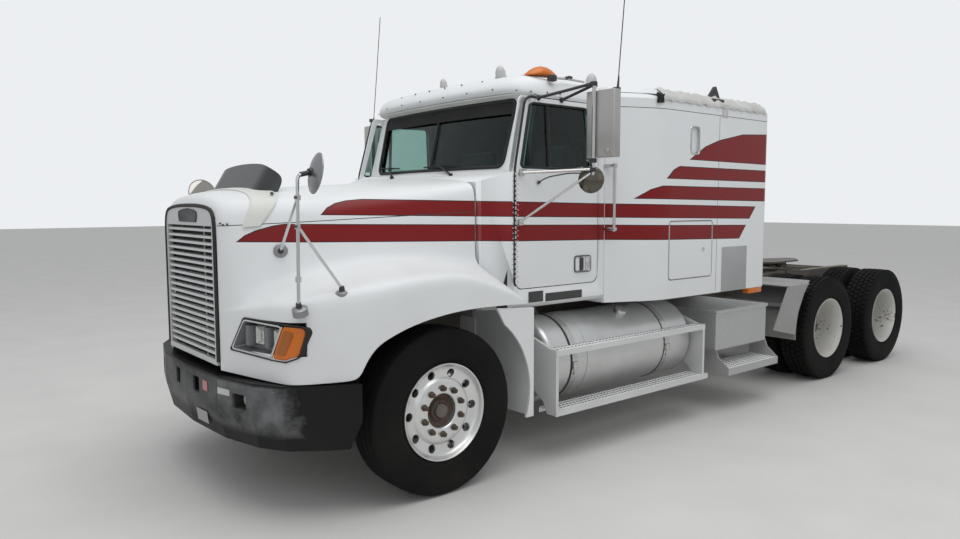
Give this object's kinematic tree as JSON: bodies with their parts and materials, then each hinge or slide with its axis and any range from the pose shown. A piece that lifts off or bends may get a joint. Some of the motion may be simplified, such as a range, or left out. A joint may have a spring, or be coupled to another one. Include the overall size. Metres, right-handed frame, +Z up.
{
  "type": "semi truck tractor unit",
  "caption": "Conventional highway tractor with a tilting hood, flared sleeper cab, steered front axle, twin-tyred tandem drive axles and a fifth wheel.",
  "frame": {"origin": "middle of the length and width, on the ground under the tyres", "axes": "+Y from the bumper to the rear, +X to the left side of the truck, +Z up"},
  "size_m": [3.1254, 8.06, 3.5501],
  "materials": {
    "white_paint": "aged gloss white paint with dark red stripes",
    "black_plastic": "scuffed black moulded plastic",
    "grille_silver": "satin silver",
    "chassis_steel": "dusty black chassis paint",
    "tank_aluminium": "dulled bare aluminium",
    "tread_plate": "tread plate, bare aluminium",
    "glass_tint": "dark tinted glass",
    "smoked_plastic": "smoked clear plastic",
    "lamp_lens": "clear and amber lens",
    "mirror_case": "brushed stainless",
    "tyre_rubber": "worn black rubber",
    "wheel_aluminium": "polished aluminium",
    "wheel_white": "white painted steel with rust",
    "interior_plastic": "grey interior trim",
    "seat_fabric": "dark woven fabric",
    "fifth_wheel_iron": "greased cast steel",
    "engine_iron": "dark painted iron"
  },
  "bodies": {
    "chassis": {"frame_rails": "chassis_steel", "front_bumper": "black_plastic", "front_axle": "chassis_steel", "front_springs": "chassis_steel", "drive_axles": "chassis_steel", "rear_suspension": "chassis_steel", "drive_shafts": "chassis_steel", "engine": "engine_iron", "radiator": "engine_iron", "fuel_tank_left": "tank_aluminium", "fuel_tank_right": "tank_aluminium", "tank_steps_left": "tread_plate", "tank_steps_right": "tread_plate", "battery_box": "tread_plate", "quarter_fenders": "tread_plate", "deck_plate": "tread_plate", "fifth_wheel_base": "chassis_steel", "fender_extensions": "white_paint", "cab_shell": "white_paint", "sleeper_shell": "white_paint", "roof_cap": "white_paint", "windshield": "glass_tint", "dashboard": "interior_plastic", "steering_wheel": "interior_plastic", "seats": "seat_fabric"},
    "hood": {"hood": "white_paint", "grille": "grille_silver", "headlights": "lamp_lens", "bug_deflector": "smoked_plastic", "hood_mirrors": "mirror_case"},
    "fifth_wheel": {"fifth_wheel_plate": "fifth_wheel_iron"},
    "tie_rod": {"tie_rod": "chassis_steel"},
    "door_left_body": {"door_left": "white_paint", "door_glass_left": "glass_tint", "mirror_left": "mirror_case"},
    "baggage_left": {"baggage_door_left": "white_paint"},
    "steer_left": {"knuckle_left": "chassis_steel"},
    "front_wheel_left": {"front_rim_left": "wheel_aluminium", "front_tyre_left": "tyre_rubber"},
    "duals_left_1": {"dual_rims_left_1": "wheel_white", "dual_tyres_left_1": "tyre_rubber"},
    "duals_left_2": {"dual_rims_left_2": "wheel_white", "dual_tyres_left_2": "tyre_rubber"},
    "door_right_body": {"door_right": "white_paint", "door_glass_right": "glass_tint", "mirror_right": "mirror_case"},
    "baggage_right": {"baggage_door_right": "white_paint"},
    "steer_right": {"knuckle_right": "chassis_steel"},
    "front_wheel_right": {"front_rim_right": "wheel_aluminium", "front_tyre_right": "tyre_rubber"},
    "duals_right_1": {"dual_rims_right_1": "wheel_white", "dual_tyres_right_1": "tyre_rubber"},
    "duals_right_2": {"dual_rims_right_2": "wheel_white", "dual_tyres_right_2": "tyre_rubber"}
  },
  "joints": [
    {"name": "hood_tilt", "type": "hinge", "parent": "chassis", "child": "hood", "pos_m": [0, -3.933, 0.852], "axis": [1, 0, 0], "range_deg": [0, 65]},
    {"name": "fifth_wheel_tilt", "type": "hinge", "parent": "chassis", "child": "fifth_wheel", "pos_m": [0, 2.495, 1.062], "axis": [1, 0, 0], "range_deg": [-8, 8]},
    {"name": "door_left_hinge", "type": "hinge", "parent": "chassis", "child": "door_left_body", "pos_m": [1.03, -2.175, 1.6], "axis": [0, 0, -1], "range_deg": [0, 70]},
    {"name": "baggage_left_hinge", "type": "hinge", "parent": "chassis", "child": "baggage_left", "pos_m": [1.219, -0.753, 1.41], "axis": [0, 0, -1], "range_deg": [0, 90]},
    {"name": "steer_left_kingpin", "type": "hinge", "parent": "chassis", "child": "steer_left", "pos_m": [0.862, -2.865, 0.518], "axis": [0, 0, 1], "range_deg": [-35, 35]},
    {"name": "front_wheel_left_spin", "type": "hinge", "parent": "steer_left", "child": "front_wheel_left", "pos_m": [1.03, -2.865, 0.518], "axis": [1, 0, 0], "continuous": true},
    {"name": "duals_left_1_spin", "type": "hinge", "parent": "chassis", "child": "duals_left_1", "pos_m": [0.901, 1.964, 0.518], "axis": [1, 0, 0], "continuous": true},
    {"name": "duals_left_2_spin", "type": "hinge", "parent": "chassis", "child": "duals_left_2", "pos_m": [0.901, 3.28, 0.518], "axis": [1, 0, 0], "continuous": true},
    {"name": "door_right_hinge", "type": "hinge", "parent": "chassis", "child": "door_right_body", "pos_m": [-1.03, -2.175, 1.6], "axis": [0, 0, 1], "range_deg": [0, 70]},
    {"name": "baggage_right_hinge", "type": "hinge", "parent": "chassis", "child": "baggage_right", "pos_m": [-1.219, -0.753, 1.41], "axis": [0, 0, 1], "range_deg": [0, 90]},
    {"name": "steer_right_kingpin", "type": "hinge", "parent": "chassis", "child": "steer_right", "pos_m": [-0.862, -2.865, 0.518], "axis": [0, 0, 1], "range_deg": [-35, 35]},
    {"name": "front_wheel_right_spin", "type": "hinge", "parent": "steer_right", "child": "front_wheel_right", "pos_m": [-1.03, -2.865, 0.518], "axis": [1, 0, 0], "continuous": true},
    {"name": "duals_right_1_spin", "type": "hinge", "parent": "chassis", "child": "duals_right_1", "pos_m": [-0.901, 1.964, 0.518], "axis": [1, 0, 0], "continuous": true},
    {"name": "duals_right_2_spin", "type": "hinge", "parent": "chassis", "child": "duals_right_2", "pos_m": [-0.901, 3.28, 0.518], "axis": [1, 0, 0], "continuous": true},
    {"name": "tie_rod_link", "type": "hinge", "parent": "steer_left", "child": "tie_rod", "pos_m": [0.862, -2.675, 0.372], "axis": [0, 0, 1], "range_deg": [-35, 35]}
  ],
  "couplings": [
    {"joint": "steer_right_kingpin", "follows": "steer_left_kingpin", "ratio": 1},
    {"joint": "tie_rod_link", "follows": "steer_left_kingpin", "ratio": -1}
  ]
}
